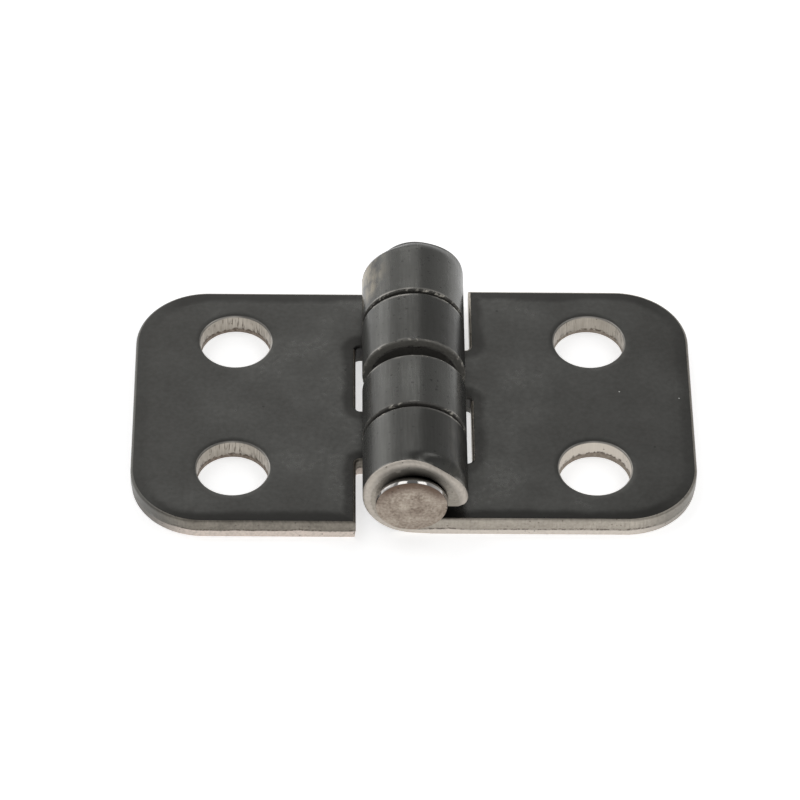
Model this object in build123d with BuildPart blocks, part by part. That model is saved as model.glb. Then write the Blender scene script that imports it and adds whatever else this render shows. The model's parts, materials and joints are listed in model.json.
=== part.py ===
from build123d import *
import os
from math import asin, degrees, isclose

# Butt hinge, lying open and flat: two leaves of blanked sheet steel, rolled into knuckles round one pin.
# Millimetres. The origin is under the middle of the pin, on the plane of the leaves' undersides.
# X runs across the leaves, Y along the pin and Z up.

# Leaf blank
leaf_reach = 25.0  # pin axis to outer edge
leaf_length = 28.5  # along the pin
sheet = 2.0
corner_radius = 6.5
hole_diameter = 6.4  # clears an M6 screw
hole_row = 16.0  # pin axis to the screw holes
hole_spacing = 15.7  # between the screw holes of one leaf

# Edges left by the blanking
die_roll = 0.35  # rounding of the upper edges, where the sheet was drawn in
burr_break = 0.1  # rounding of the lower edges, where the burr was tumbled off

# Knuckles: each leaf has one at an end of the barrel and one in its inner half
end_knuckle_extra = 0.8  # how much longer the end knuckles are than the inner ones
knuckle_gap = 0.65  # between an end knuckle and its neighbour, with the two leaves level
middle_gap = 1.2  # between the two inner knuckles, with the two leaves level
leaf_stagger = 0.45  # end play taken up: how far one leaf stands ahead of the other
notch_clearance = 0.55  # from a knuckle's outside to the edge of the notch that it turns in
notch_corner_radius = 0.4
roll_end_gap = 1.7  # from the leaf's upper face to the free end of the roll
roll_end_radius = 0.5  # rounding of the free end's outer corner

# Pin
pin_diameter = 5.0
pin_clearance = 0.1  # radial, between the pin and the knuckles
head_diameter = 6.45  # across the face that the upsetting spread, to the corner under its edge radius
head_shoulder = 0.2  # how far the head stands out from the shaft where it meets the knuckle
head_height = 1.1
head_crown = 0.15  # how far the upset face bulges
head_edge_radius = 0.15
head_clearance = 0.05  # between a head and the knuckle beside it

# Sizes that follow from these
roll_inside = pin_diameter / 2 + pin_clearance
roll_outside = roll_inside + sheet
pin_height = roll_outside
barrel_height = 2 * roll_outside
roll_end_height = sheet + roll_end_gap
notch_edge = roll_outside + notch_clearance
inner_knuckle = (leaf_length - 2 * end_knuckle_extra - 2 * knuckle_gap - middle_gap) / 4
end_knuckle = inner_knuckle + end_knuckle_extra
leaf_centre = leaf_stagger / 2
leaf_front = leaf_centre - leaf_length / 2
barrel_half = (leaf_length - leaf_stagger) / 2
head_seat = barrel_half + head_clearance
head_face = head_seat + head_height

# A roll runs from the lowest point of the barrel, round the back, to a free end cut level with the leaf
roll_start_angle = 270
outside_sweep = degrees(asin((roll_end_height - pin_height) / roll_outside)) - roll_start_angle
inside_sweep = degrees(asin((roll_end_height - pin_height) / roll_inside)) - roll_start_angle

# The right leaf holds the first and the third knuckle from the front, and the others turn in its notches.
# The end notch runs past the leaf's rear edge.
inner_notch = knuckle_gap + inner_knuckle + middle_gap
inner_notch_front = leaf_front + end_knuckle
end_notch = end_knuckle + 2 * knuckle_gap
end_notch_front = inner_notch_front + inner_notch + inner_knuckle


def rolled_faces(leaf, radius):
    """Faces of a leaf's rolls at one radius from the pin's axis."""
    return leaf.faces().filter_by(
        lambda face: face.geom_type == GeomType.CYLINDER
        and isclose(face.radius, radius)
        and face.axis_of_rotation.is_parallel(Axis.Y)
    )


def rim(faces):
    """Edges round a run of faces, without the edges that the faces share."""
    all_edges = [edge for face in faces for edge in face.edges()]
    return ShapeList(edge for edge in all_edges if sum(edge.is_same(other) for other in all_edges) == 1)


# Right leaf: one sheet with its knuckles
with BuildPart() as right_leaf:
    with BuildSketch(Plane.XZ.offset(-leaf_centre)) as section:
        with BuildLine():
            underside = Line((leaf_reach, 0), (0, 0))
            outside = CenterArc((0, pin_height), roll_outside, roll_start_angle, outside_sweep)
            inside = CenterArc((0, pin_height), roll_inside, roll_start_angle, inside_sweep)
            Line(outside @ 1, inside @ 1)
            upper_side = Line(inside @ 0, (leaf_reach, sheet))
            Line(upper_side @ 1, underside @ 0)
        make_face()
        free_end = section.vertices().group_by(Axis.Y)[-1]
        fillet(free_end.sort_by(Axis.X)[-1], roll_end_radius)
    extrude(amount=leaf_length / 2, both=True)
    fillet(right_leaf.edges().filter_by(Axis.Z).group_by(Axis.X)[-1], corner_radius)
    with BuildSketch() as notches:
        with Locations((0, inner_notch_front + inner_notch / 2)):
            Rectangle(2 * notch_edge, inner_notch)
        with Locations((0, end_notch_front + end_notch / 2)):
            Rectangle(2 * notch_edge, end_notch)
        fillet(notches.vertices().group_by(Axis.X)[-1], notch_corner_radius)
    extrude(amount=barrel_height, mode=Mode.SUBTRACT)
    upper_face = right_leaf.faces().filter_by(Plane.XY).group_by(Axis.Z)[1]
    fillet(rim(upper_face + rolled_faces(right_leaf, roll_inside)), die_roll)
    lower_face = right_leaf.faces().filter_by(Plane.XY).group_by(Axis.Z)[0]
    fillet(rim(lower_face + rolled_faces(right_leaf, roll_outside)), burr_break)
    with Locations((hole_row, leaf_centre)):
        with GridLocations(0, hole_spacing, 1, 2):
            Hole(hole_diameter / 2)
    hole_rims = right_leaf.edges().filter_by(lambda edge: edge.is_closed).group_by(Axis.Z)
    fillet(hole_rims[-1], die_roll)
right_leaf.part.label = "right_leaf"

# Left leaf: the same stamping, turned end for end
with BuildPart() as left_leaf:
    add(right_leaf.part, rotation=(0, 0, 180))
left_leaf.part.label = "left_leaf"

# Pin: a plain shaft with both ends upset into low crowned heads that widen from the knuckle to the face
with BuildPart() as hinge_pin:
    with BuildSketch(Plane.YZ) as half_section:
        with BuildLine():
            centre_line = Line((0, pin_height), (head_face, pin_height))
            crown = TangentArc(
                centre_line @ 1, (head_face - head_crown, pin_height + head_diameter / 2), tangent=(0, 1)
            )
            head_side = Line(crown @ 1, (head_seat, pin_height + pin_diameter / 2 + head_shoulder))
            seat = Line(head_side @ 1, (head_seat, pin_height + pin_diameter / 2))
            shaft = Line(seat @ 1, (0, pin_height + pin_diameter / 2))
            Line(shaft @ 1, centre_line @ 0)
        make_face()
        head_rim = half_section.vertices().group_by(Axis.Y)[-1]
        fillet(head_rim.sort_by(Axis.X)[-1], head_edge_radius)
    revolve(axis=Axis((0, 0, pin_height), (0, 1, 0)))
    mirror(about=Plane.XZ)
hinge_pin.part.label = "hinge_pin"

os.makedirs("parts", exist_ok=True)
export_step(left_leaf.part, "parts/left_leaf.step")
export_step(right_leaf.part, "parts/right_leaf.step")
export_step(hinge_pin.part, "parts/hinge_pin.step")
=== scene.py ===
"""Looks of the butt hinge: two blanked and rolled leaves on an upset pin, in a plain white studio.

Each leaf is made the way the real one is: a flat blank is cut out, its edges get the section that
blanking leaves, and the blank is then rolled round the pin. Everything is in metres, in the frame of
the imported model.
"""

import json
import logging
import math
from collections.abc import Mapping, Sequence
from dataclasses import dataclass
from enum import Enum
from functools import cached_property, partial, reduce

import bpy
import numpy as np
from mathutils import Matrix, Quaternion, Vector, noise
from mathutils.geometry import delaunay_2d_cdt


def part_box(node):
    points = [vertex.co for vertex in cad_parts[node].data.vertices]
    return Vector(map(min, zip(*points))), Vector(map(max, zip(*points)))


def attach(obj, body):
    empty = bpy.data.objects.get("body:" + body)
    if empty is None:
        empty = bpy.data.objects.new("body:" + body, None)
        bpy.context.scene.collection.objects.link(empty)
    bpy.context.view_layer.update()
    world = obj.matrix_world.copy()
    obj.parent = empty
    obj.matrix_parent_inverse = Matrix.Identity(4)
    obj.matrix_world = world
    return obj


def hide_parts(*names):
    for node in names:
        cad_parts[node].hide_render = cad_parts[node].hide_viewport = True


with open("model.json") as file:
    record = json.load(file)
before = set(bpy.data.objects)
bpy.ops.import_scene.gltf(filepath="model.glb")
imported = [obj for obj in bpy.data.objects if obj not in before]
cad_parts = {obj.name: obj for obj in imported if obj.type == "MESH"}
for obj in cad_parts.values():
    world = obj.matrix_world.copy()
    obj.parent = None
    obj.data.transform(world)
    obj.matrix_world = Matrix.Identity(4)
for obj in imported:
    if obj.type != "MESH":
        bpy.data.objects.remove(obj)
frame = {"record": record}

MM = 0.001
LOG = logging.getLogger("butt_hinge")

Colour = tuple[float, float, float, float]
Pair = tuple[float, float]
Stretch = Pair
Ring = tuple[np.ndarray, np.ndarray]
Socket = bpy.types.NodeSocket
Setting = object


class Side(Enum):
    """Which side of the pin a leaf lies on, by the sign of its X."""

    RIGHT = 1
    LEFT = -1

    @property
    def node(self) -> str:
        """Name of this leaf's CAD node, which is its body's name too."""
        return f"{self.name.lower()}_leaf"


# Share of the sheet that the punch burnished before the rest of it tore
EDGE_BURNISH = {Side.RIGHT: 0.63, Side.LEFT: 0.56}
HOLE_BURNISH = 0.80


class LeafZone(Enum):
    """Surfaces of a leaf with a finish of their own, by material slot."""

    SKIN = 0
    CUT_EDGE = 1
    PUNCHED_HOLE = 2
    # Knuckle ends across the gaps get darker finishes, as painted shade
    KNUCKLE_END = 3
    TIGHT_END = 4


class PinZone(Enum):
    """Surfaces of the pin with a finish of their own, by material slot."""

    UPSET_FACE = 0
    BRIGHT_SIDE = 1


def ripple(places: np.ndarray, size: float, seed: float) -> np.ndarray:
    """Smooth noise at some places, the same in every run.

    Args:
        places: Rows of two or three coordinates.
        size: Distance over which the noise changes.
        seed: Picks one noise out of many.

    Returns:
        One value for each place, from about -1 to 1.
    """
    rows = np.zeros((len(places), 3))
    rows[:, : places.shape[1]] = places / size
    rows[:, 2] += seed
    return np.array([noise.noise(Vector(row)) for row in rows])


def new_object(name: str, points: np.ndarray, faces: Sequence[Sequence[int]]) -> bpy.types.Object:
    """Makes a smooth-shaded mesh object with crisp corners.

    Args:
        name: Name of the object and of its mesh.
        points: Rows of x, y and z.
        faces: Rows of point numbers, anticlockwise from outside.

    Returns:
        The object, linked to the scene.
    """
    crisp_angle = math.radians(40)
    mesh = bpy.data.meshes.new(name)
    mesh.from_pydata(points.tolist(), [], faces)
    mesh.shade_smooth()
    mesh.set_sharp_from_angle(angle=crisp_angle)
    made = bpy.data.objects.new(name, mesh)
    bpy.context.scene.collection.objects.link(made)
    return made


def store_vectors(made: bpy.types.Object, name: str, rows: np.ndarray) -> None:
    """Keeps one vector for each vertex of a mesh object, for the finishes to read by its name."""
    attribute = made.data.attributes.new(name, "FLOAT_VECTOR", "POINT")
    attribute.data.foreach_set("vector", rows.astype(np.float32).ravel())


class Graph:
    """A node tree as it is drawn. Its methods take numbers or output sockets alike."""

    def __init__(self, tree: bpy.types.NodeTree) -> None:
        """Starts on an empty tree."""
        self.tree = tree
        tree.nodes.clear()

    def put(self, socket: Socket, value: Setting) -> None:
        """Links an output socket to an input, or sets a plain value there.

        Args:
            socket: Input of a node.
            value: Output socket, number, vector or colour.
        """
        if isinstance(value, Socket):
            self.tree.links.new(value, socket)
        else:
            socket.default_value = value

    def add(
        self, kind: str, inputs: Mapping[str | int, Setting] | None = None, **settings: Setting
    ) -> bpy.types.Node:
        """Adds a node.

        Args:
            kind: Blender's name for the type of node.
            inputs: A value, or an output socket to link, for each input.
            **settings: Properties of the node itself.

        Returns:
            The new node.
        """
        node = self.tree.nodes.new(kind)
        for name, value in settings.items():
            setattr(node, name, value)
        for name, value in (inputs or {}).items():
            self.put(node.inputs[name], value)
        return node

    def maths(self, operation: str, *values: Setting) -> Socket:
        """Works out an operation, by Blender's name for it, on some values."""
        return self.add("ShaderNodeMath", dict(enumerate(values)), operation=operation).outputs[0]

    def times(self, *values: Setting) -> Socket:
        """Multiplies values."""
        return reduce(partial(self.maths, "MULTIPLY"), values)

    def plus(self, *values: Setting) -> Socket:
        """Adds values up."""
        return reduce(partial(self.maths, "ADD"), values)

    def minus(self, value: Setting, less: Setting) -> Socket:
        """Takes the second value from the first."""
        return self.maths("SUBTRACT", value, less)

    def clamped(self, value: Setting) -> Socket:
        """Holds a value between 0 and 1."""
        return self.add("ShaderNodeClamp", {"Value": value}).outputs[0]

    def ramp(
        self, value: Setting, low: float, high: float, start: float = 0.0, end: float = 1.0
    ) -> Socket:
        """Maps a value smoothly from one range to another and holds it there.

        Args:
            value: Number or output socket.
            low: Value that gives start.
            high: Value that gives end.
            start: Result at and below low.
            end: Result at and above high.

        Returns:
            Socket with the result.
        """
        settings = {"Value": value, "From Min": low, "From Max": high, "To Min": start, "To Max": end}
        return self.add("ShaderNodeMapRange", settings, interpolation_type="SMOOTHSTEP").outputs["Result"]

    def blend(self, share: Setting, first: Setting, second: Setting) -> Socket:
        """Mixes two colours.

        Args:
            share: How much of the second there is.
            first: Colour or output socket.
            second: Colour or output socket.

        Returns:
            Socket with the mixed colour.
        """
        node = self.add("ShaderNodeMix", data_type="RGBA")
        inputs = {socket.identifier: socket for socket in node.inputs}
        self.put(inputs["Factor_Float"], share)
        self.put(inputs["A_Color"], first)
        self.put(inputs["B_Color"], second)
        return next(socket for socket in node.outputs if socket.identifier == "Result_Color")

    def tint(self, colour: Setting, towards: Setting, *shares: Setting) -> Socket:
        """Mixes a colour towards another by the product of some shares."""
        return self.blend(self.times(*shares), colour, towards)

    def even(self, size: Setting) -> Socket:
        """Makes a vector with the same size on each axis."""
        return self.add("ShaderNodeCombineXYZ", {axis: size for axis in "XYZ"}).outputs[0]

    def scaled(self, vector: Setting, sizes: Setting) -> Socket:
        """Divides a vector by a size for each axis."""
        return self.add("ShaderNodeVectorMath", {0: vector, 1: sizes}, operation="DIVIDE").outputs["Vector"]

    def cloud(self, place: Setting, sizes: Setting, detail: Setting) -> Socket:
        """Cloudy noise round one half, with a size for each axis."""
        settings = {"Vector": self.scaled(place, sizes), "Scale": 1.0, "Detail": detail}
        return self.add("ShaderNodeTexNoise", settings).outputs["Fac"]

    def stored(self, name: str) -> Socket:
        """Reads a vector that the mesh keeps for each vertex."""
        return self.add("ShaderNodeAttribute", attribute_name=name).outputs["Vector"]

    def split(self, vector: Setting) -> bpy.types.NodeOutputs:
        """Takes a vector apart into X, Y and Z."""
        return self.add("ShaderNodeSeparateXYZ", {"Vector": vector}).outputs

    def use(self, group: bpy.types.ShaderNodeTree, **inputs: Setting) -> Socket:
        """Places a shader group.

        Args:
            group: The group's tree.
            **inputs: Its inputs, by name.

        Returns:
            The group's first output.
        """
        node = self.add("ShaderNodeGroup", node_tree=group)
        for name, value in inputs.items():
            self.put(node.inputs[name], value)
        return node.outputs[0]


class SurfaceEffects:
    """Shader groups that more than one finish uses, each built once and putting out one mask."""

    @staticmethod
    def _start(name: str, inputs: Mapping[str, Setting]) -> tuple[Graph, bpy.types.NodeOutputs]:
        """Begins a group that takes a place and some inputs of its own.

        Args:
            name: Name of the group.
            inputs: Default value of each other input; a tuple makes a vector.

        Returns:
            The group's graph, and the sockets that bring its inputs in.
        """
        tree = bpy.data.node_groups.new(name, "ShaderNodeTree")
        for label, value in {"Place": (0.0, 0.0, 0.0), **inputs}.items():
            kind = "NodeSocketVector" if isinstance(value, tuple) else "NodeSocketFloat"
            tree.interface.new_socket(label, in_out="INPUT", socket_type=kind).default_value = value
        tree.interface.new_socket("Mask", in_out="OUTPUT", socket_type="NodeSocketFloat")
        graph = Graph(tree)
        return graph, graph.add("NodeGroupInput").outputs

    @staticmethod
    def _end(graph: Graph, mask: Socket) -> bpy.types.ShaderNodeTree:
        """Joins a group's mask to its output and returns the group."""
        graph.add("NodeGroupOutput", {"Mask": mask})
        return graph.tree

    @cached_property
    def grain(self) -> bpy.types.ShaderNodeTree:
        """Cloudy mottling, or streaks where one of its sizes is far longer than the others."""
        graph, given = self._start("Grain", {"Size": (MM, MM, MM), "Detail": 4.0, "Contrast": 1.0})
        middle = 0.5
        cloud = graph.cloud(given["Place"], given["Size"], given["Detail"])
        swing = graph.times(graph.minus(cloud, middle), given["Contrast"])
        return self._end(graph, graph.clamped(graph.plus(swing, middle)))

    @cached_property
    def specks(self) -> bpy.types.ShaderNodeTree:
        """Small separate spots, for dust and pits."""
        graph, given = self._start("Specks", {"Spacing": MM, "Width": 0.1 * MM, "Share": 0.3})
        place = graph.scaled(given["Place"], graph.even(given["Spacing"]))
        cells = graph.add("ShaderNodeTexVoronoi", {"Vector": place, "Scale": 1.0}).outputs
        reach = graph.maths("DIVIDE", given["Width"], given["Spacing"])
        spot = graph.maths("LESS_THAN", cells["Distance"], reach)
        chosen = graph.maths("LESS_THAN", graph.split(cells["Color"])["X"], given["Share"])
        return self._end(graph, graph.times(spot, chosen))

    @cached_property
    def scratches(self) -> bpy.types.ShaderNodeTree:
        """Fine marks of handling, in two crossing directions."""
        graph, given = self._start("Scratches", {"Length": 6 * MM, "Width": 0.06 * MM, "Share": 0.2})
        directions = (math.radians(24), math.radians(-63))
        steepness = 8.0
        length = given["Length"]
        sizes = graph.add("ShaderNodeCombineXYZ", {"X": length, "Y": given["Width"], "Z": length}).outputs[0]
        limit = graph.minus(1.0, given["Share"])
        marks = []
        for angle in directions:
            turned = graph.add("ShaderNodeVectorRotate", {"Vector": given["Place"], "Angle": angle})
            marks.append(graph.minus(graph.cloud(turned.outputs[0], sizes, 1.0), limit))
        depth = graph.times(graph.maths("MAXIMUM", *marks), steepness)
        return self._end(graph, graph.clamped(depth))

    @cached_property
    def edge_wear(self) -> bpy.types.ShaderNodeTree:
        """Where a rim has been rubbed, in patches along it."""
        inputs = {"Distance": 0.0, "Reach": 0.2 * MM, "Patch": 2 * MM, "Share": 0.5}
        graph, given = self._start("Edge wear", inputs)
        most, slope, steepness = 0.9, 0.8, 5.0
        cloud = graph.cloud(given["Place"], graph.even(given["Patch"]), 3.0)
        limit = graph.times(graph.minus(most, given["Share"]), slope)
        patch = graph.clamped(graph.times(graph.minus(cloud, limit), steepness))
        away = graph.maths("DIVIDE", given["Distance"], given["Reach"])
        near = graph.clamped(graph.minus(1.0, away))
        return self._end(graph, graph.times(near, patch))


def start_material(name: str) -> tuple[bpy.types.Material, Graph]:
    """Makes a material with an empty node tree.

    Args:
        name: Name of the material.

    Returns:
        The material and its graph.
    """
    material = bpy.data.materials.new(name)
    material.use_nodes = True
    return material, Graph(material.node_tree)


def end_material(graph: Graph, surface: Socket) -> None:
    """Joins the surface shader to the material's output."""
    graph.add("ShaderNodeOutputMaterial", {"Surface": surface})


def end_steel(
    graph: Graph, colour: Socket, roughness: Socket, metallic: float, height: Socket, relief: Pair
) -> None:
    """Joins a steel surface to the material's output.

    Args:
        graph: The material's graph.
        colour: Its colour over the surface.
        roughness: Its roughness over the surface.
        metallic: How much of it is bare metal.
        height: Its fine relief.
        relief: Strength and depth of that relief.
    """
    strength, depth = relief
    bump = graph.add("ShaderNodeBump", {"Strength": strength, "Distance": depth, "Height": height})
    inputs = {
        "Base Color": colour,
        "Roughness": roughness,
        "Metallic": metallic,
        "Normal": bump.outputs["Normal"],
    }
    shader = graph.add("ShaderNodeBsdfPrincipled", inputs)
    end_material(graph, shader.outputs["BSDF"])


@dataclass(frozen=True)
class RollingScale:
    """Dark oxide skin of hot-rolled sheet, with rubbed rims and a few handling marks.

    A stretch is where an effect fades: along the run from the free end outwards, unless it says otherwise.
    Light and shade are painted into the colour as well: a painted shade band along the open edges, painted
    shade on the free-end side of the knuckles, and painted highlights on their other side and round the hole
    lips.
    """

    effects: SurfaceEffects
    name: str
    paler_roll_share: float
    rubbed_end_share: float
    # Share of the painted highlight on the knuckles' side away from the free end
    highlight_side_share: float
    pale: Colour = (0.094, 0.094, 0.089, 1.0)
    dark: Colour = (0.054, 0.053, 0.049, 1.0)
    # Dark colour of the painted shade along the open edges and on the knuckles' free-end side
    rim: Colour = (0.026, 0.025, 0.023, 1.0)
    # Rubbed bare steel of worn rims, also the colour of the painted highlight round the hole lips
    rubbed: Colour = (0.40, 0.38, 0.35, 1.0)
    tan: Colour = (0.42, 0.37, 0.28, 1.0)
    dust: Colour = (0.60, 0.60, 0.58, 1.0)
    pitted: Colour = (0.018, 0.017, 0.016, 1.0)
    # Paler colour: lifts the knuckles by a share of their own, and is the painted highlight on their far side
    polished: Colour = (0.16, 0.16, 0.15, 1.0)
    metallic: float = 0.85
    relief: Pair = (0.2, 0.02 * MM)
    tan_end: Stretch = (-16.6 * MM, -12.8 * MM)
    # Painted shade on the free-end side of the knuckles
    shaded_free_end: Stretch = (-14.2 * MM, -11.0 * MM)
    # Where that painted highlight fades in and out
    highlight_side_start: Stretch = (-10.4 * MM, -8.6 * MM)
    highlight_side_end: Stretch = (-6.5 * MM, -3.5 * MM)
    roll_root: Stretch = (-2.0 * MM, 1.0 * MM)
    outer_part: Stretch = (8.0 * MM, 22.0 * MM)
    outer_side: Stretch = (20.5 * MM, 24.0 * MM)
    end_knuckle_along: Stretch = (-9.0 * MM, -7.6 * MM)
    # Where the painted shade band along the open edges fades, off the rim
    edge_shade_off_rim: Stretch = (1.1 * MM, 1.9 * MM)
    # Where the painted highlight round the hole lips lies, off the rim
    hole_highlight_off_rim: Stretch = (3.84 * MM, 3.94 * MM)
    top_by_depth: Stretch = (0.2, 0.3)

    def material(self) -> bpy.types.Material:
        """Builds the finish.

        Returns:
            The material.
        """
        material, graph = start_material(self.name)
        place = graph.stored("blank")
        run, along, _ = graph.split(place)
        _, depth, off_rim = graph.split(graph.stored("cut"))
        grain = partial(graph.use, self.effects.grain, Place=place)
        specks = partial(graph.use, self.effects.specks, Place=place)
        rolled = graph.ramp(run, *self.roll_root, 1.0, 0.0)
        on_top = graph.ramp(depth, *self.top_by_depth, 1.0, 0.0)
        clouds = grain(Size=(5 * MM,) * 3, Detail=4.0, Contrast=2.0)
        fine = grain(Size=(0.42 * MM,) * 3, Detail=3.0, Contrast=2.0)
        fine = graph.times(fine, graph.ramp(rolled, 0.0, 1.0, 1.0, 0.3))
        streaks = grain(Size=(0.16 * MM, 3.5 * MM, 5 * MM), Detail=4.0, Contrast=2.2)
        streaks = graph.times(streaks, rolled)
        patches = grain(Size=(0.6 * MM, 1.6 * MM, MM), Detail=4.0, Contrast=4.5)
        dents = grain(Size=(1.3 * MM, 1.8 * MM, MM), Detail=2.0, Contrast=1.5)
        dust = specks(Spacing=2.6 * MM, Width=0.055 * MM, Share=0.22)
        pits = graph.times(specks(Spacing=0.45 * MM, Width=0.1 * MM, Share=0.42), rolled, clouds)
        stains = specks(Spacing=1.9 * MM, Width=0.13 * MM, Share=0.25)
        scratches = graph.use(
            self.effects.scratches, Place=place, Length=3.5 * MM, Width=0.08 * MM, Share=0.27
        )
        worn = graph.use(
            self.effects.edge_wear, Place=place, Distance=off_rim, Reach=0.2 * MM, Patch=1.6 * MM, Share=0.36
        )
        tone = graph.plus(graph.times(clouds, 0.5), graph.times(fine, 0.3), graph.times(streaks, 0.35))
        tone = graph.plus(tone, graph.ramp(run, *self.outer_part, 0.0, -0.2))
        colour = graph.blend(tone, self.dark, self.pale)
        # The knuckles made paler by a share of their own
        colour = graph.tint(colour, self.polished, rolled, self.paler_roll_share)
        # Painted highlight: the knuckles paler on their side away from the free end
        far_side = graph.ramp(run, *self.highlight_side_end, self.highlight_side_share, 0.0)
        colour = graph.tint(colour, self.polished, far_side, graph.ramp(run, *self.highlight_side_start))
        # Painted shade: the knuckles darker on their free-end side
        colour = graph.tint(colour, self.rim, graph.ramp(run, *self.shaded_free_end, 0.32, 0.0))
        # Painted shade: a ragged dark band along the open edges, on the upper face, weaker towards the outer
        # sides
        ragged = graph.plus(off_rim, graph.times(clouds, 0.7 * MM))
        painted_edge_shade = graph.times(graph.ramp(ragged, *self.edge_shade_off_rim, 0.75, 0.0), on_top)
        colour = graph.tint(colour, self.rim, painted_edge_shade, graph.ramp(run, *self.outer_side, 1.0, 0.25))
        colour = graph.tint(colour, self.pitted, scratches, 0.5)
        colour = graph.tint(colour, self.pitted, pits, 0.8)
        colour = graph.tint(colour, self.pitted, stains, 0.4)
        colour = graph.tint(colour, self.rubbed, worn, graph.ramp(rolled, 0.0, 1.0, 1.0, 0.85))
        # Painted highlight round the hole lips, in patches, partly rubbed steel
        hole_lip_highlight = graph.times(graph.ramp(off_rim, *self.hole_highlight_off_rim), on_top)
        colour = graph.tint(colour, self.rubbed, hole_lip_highlight, graph.ramp(clouds, 0.3, 0.65, 0.45, 1.0))
        tan_end = graph.ramp(run, *self.tan_end, self.rubbed_end_share, 0.0)
        end_knuckle = graph.ramp(along, *self.end_knuckle_along, 1.0, 0.0)
        colour = graph.tint(colour, self.tan, tan_end, end_knuckle, patches)
        colour = graph.tint(colour, self.dust, dust)
        roughness = graph.ramp(tone, 0.25, 0.75, 0.34, 0.24)
        raised = graph.plus(
            graph.times(fine, 0.5), graph.times(streaks, 0.8), graph.times(dents, rolled, 4.0)
        )
        height = graph.minus(graph.minus(raised, scratches), pits)
        end_steel(graph, colour, roughness, self.metallic, height, self.relief)
        return material


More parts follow.
